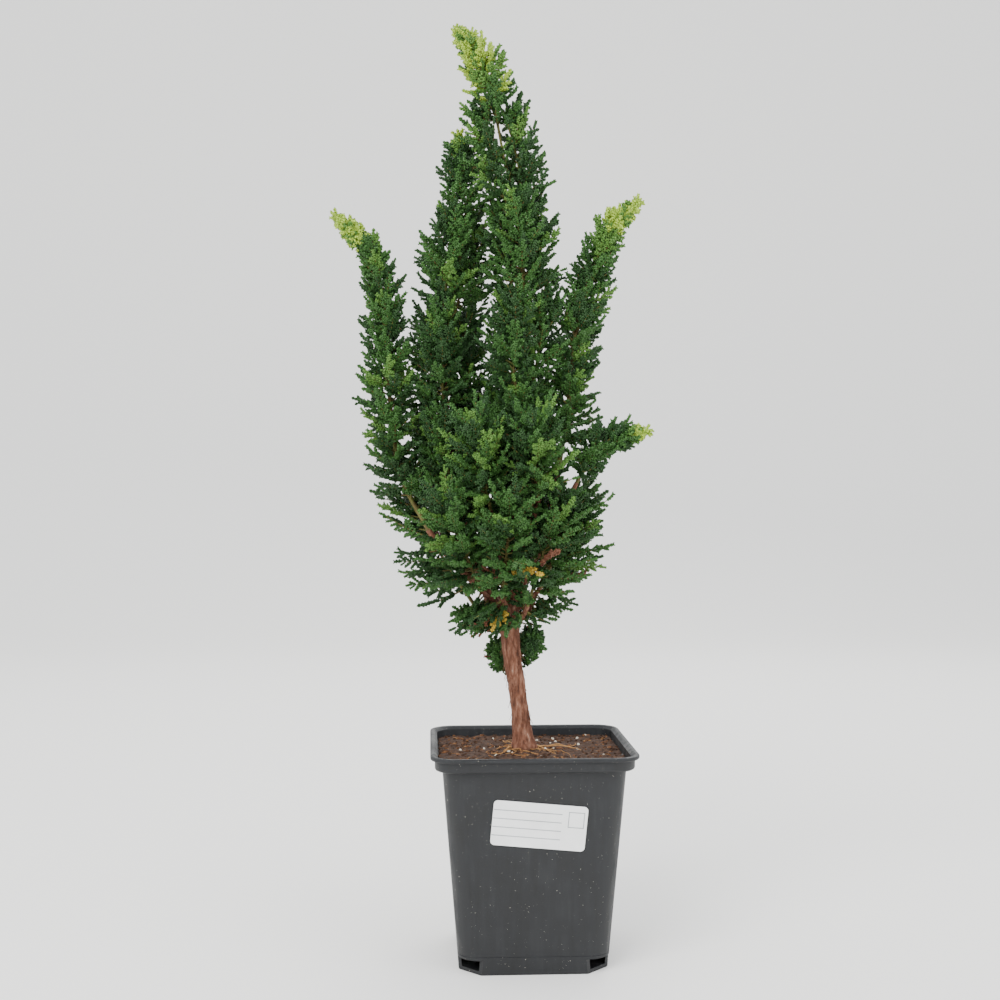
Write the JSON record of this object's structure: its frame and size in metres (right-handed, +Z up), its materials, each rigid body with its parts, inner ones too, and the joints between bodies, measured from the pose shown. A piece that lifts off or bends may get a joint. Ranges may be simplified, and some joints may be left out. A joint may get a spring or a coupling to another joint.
{
  "type": "sekka hinoki cypress bonsai in a nursery pot",
  "caption": "Upright conifer bonsai with a tapering trunk, long side arms, a short horn and dense plumes of scale foliage, standing in a square black nursery pot.",
  "frame": {"origin": "middle of the pot's flat underside", "axes": "+Z up, -Y towards the plant's front, +X to the right seen from the front"},
  "size_m": [0.1783, 0.1108, 0.5102],
  "materials": {
    "black_plastic": "matte moulded plastic, dusty",
    "potting_mix": "damp bark and peat mix with pale grit",
    "white_paper": "smooth blank sticker",
    "bark": "rough red-brown bark",
    "scale_foliage": "matte green scale leaves"
  },
  "bodies": {
    "root": {"pot": "black_plastic", "soil": "potting_mix", "label": "white_paper", "trunk": "bark", "second_stem": "bark", "back_bough_left": "bark", "back_bough_right": "bark", "front_bough_left": "bark", "front_bough_right": "bark", "horn_bough": "bark", "left_arm_bough": "bark", "right_arm_bough": "bark", "side_bough_1": "bark", "side_bough_2": "bark", "side_bough_3": "bark", "side_bough_4": "bark", "side_bough_5": "bark", "side_bough_6": "bark", "side_bough_7": "bark", "side_bough_8": "bark", "back_left": "scale_foliage", "back_right": "scale_foliage", "front_left": "scale_foliage", "front_right": "scale_foliage", "horn": "scale_foliage", "leader_1_back": "scale_foliage", "leader_1_front": "scale_foliage", "leader_1_right": "scale_foliage", "leader_2_back": "scale_foliage", "leader_2_front": "scale_foliage", "leader_2_right": "scale_foliage", "leader_3_back": "scale_foliage", "leader_3_front": "scale_foliage", "leader_3_right": "scale_foliage", "leader_4_left": "scale_foliage", "leader_4_right": "scale_foliage", "leader_tip": "scale_foliage", "left_arm": "scale_foliage", "right_arm": "scale_foliage", "second_1_back": "scale_foliage", "second_1_front": "scale_foliage", "second_1_left": "scale_foliage", "second_2_back": "scale_foliage", "second_2_front": "scale_foliage", "second_2_left": "scale_foliage", "second_3_back": "scale_foliage", "second_3_front": "scale_foliage", "second_tip": "scale_foliage", "side_1": "scale_foliage", "side_2": "scale_foliage", "side_3": "scale_foliage", "side_4": "scale_foliage", "side_5": "scale_foliage", "side_6": "scale_foliage", "side_7": "scale_foliage", "side_8": "scale_foliage", "tuft_left": "scale_foliage", "tuft_right": "scale_foliage"}
  },
  "joints": []
}
